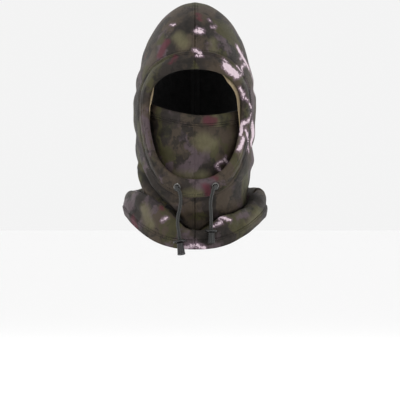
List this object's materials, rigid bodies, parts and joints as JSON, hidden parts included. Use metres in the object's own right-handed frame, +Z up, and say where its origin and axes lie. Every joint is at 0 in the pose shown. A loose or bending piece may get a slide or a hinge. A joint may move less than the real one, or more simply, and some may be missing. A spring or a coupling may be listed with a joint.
{
  "type": "hooded face mask",
  "caption": "Camouflage balaclava hood with a drawcord face opening, a pull-down inner mask panel and a cowl-like neck cape with cord tails.",
  "frame": {"origin": "the point inside the top of the crown where the wearer's head touches the cloth", "axes": "+Z up along the head, -Y out through the face opening, +X to the wearer's left"},
  "size_m": [0.191, 0.2318, 0.3341],
  "materials": {
    "shell_cloth": "matte",
    "band_cloth": "matte",
    "mask_cloth": "matte",
    "lining_cloth": "matte",
    "facing_cloth": "matte",
    "seam_tape": "matte",
    "elastic": "matte",
    "cord": "matte",
    "eyelet_nickel": "satin",
    "black_plastic": "gloss",
    "label_tape": "matte"
  },
  "bodies": {
    "hood": {"hood_panel_left": "shell_cloth", "hood_lining_left": "lining_cloth", "face_band_left": "band_cloth", "face_facing_left": "facing_cloth", "eyelet_left": "eyelet_nickel", "eyelet_washer_left": "eyelet_nickel", "eyelet_patch_left": "seam_tape", "mask_panel_left": "mask_cloth", "cape_panel_left": "shell_cloth", "cape_hem_left": "shell_cloth", "cape_lining_left": "lining_cloth", "hood_panel_right": "shell_cloth", "hood_lining_right": "lining_cloth", "face_band_right": "band_cloth", "face_facing_right": "facing_cloth", "eyelet_right": "eyelet_nickel", "eyelet_washer_right": "eyelet_nickel", "eyelet_patch_right": "seam_tape", "mask_panel_right": "mask_cloth", "cape_panel_right": "shell_cloth", "cape_hem_right": "shell_cloth", "cape_lining_right": "lining_cloth", "crown_seam_tape": "seam_tape", "throat_seam_tape": "seam_tape", "nape_label": "label_tape", "drawcord": "cord", "mask_lining": "lining_cloth"},
    "mask_top": {"mask_hem": "mask_cloth", "mask_hem_elastic": "elastic"},
    "tail_left": {"cord_tail_left": "cord", "cord_bell_left": "black_plastic", "cord_knot_left": "cord"},
    "disc_left": {"cord_disc_left": "black_plastic"},
    "tail_right": {"cord_tail_right": "cord", "cord_bell_right": "black_plastic", "cord_knot_right": "cord"},
    "disc_right": {"cord_disc_right": "black_plastic"}
  },
  "joints": [
    {"name": "mask_pull_down", "type": "slide", "parent": "hood", "child": "mask_top", "axis": [0, 0, -1], "range_m": [0, 0.055], "deforming": ["mask_panel_left", "mask_panel_right", "mask_lining"]},
    {"name": "tail_swing_left", "type": "hinge", "parent": "hood", "child": "tail_left", "pos_m": [-0.02375, -0.09941, -0.239], "axis": [-0.9408, 0.339, 0], "range_deg": [0, 75]},
    {"name": "disc_slide_left", "type": "slide", "parent": "tail_left", "child": "disc_left", "axis": [-0.1212, 0.1616, 0.9794], "range_m": [0, 0.021]},
    {"name": "tail_swing_right", "type": "hinge", "parent": "hood", "child": "tail_right", "pos_m": [0.02705, -0.09839, -0.23782], "axis": [-0.923, -0.3849, 0], "range_deg": [0, 75]},
    {"name": "disc_slide_right", "type": "slide", "parent": "tail_right", "child": "disc_right", "axis": [0, 0.0995, 0.995], "range_m": [0, 0.02]}
  ]
}
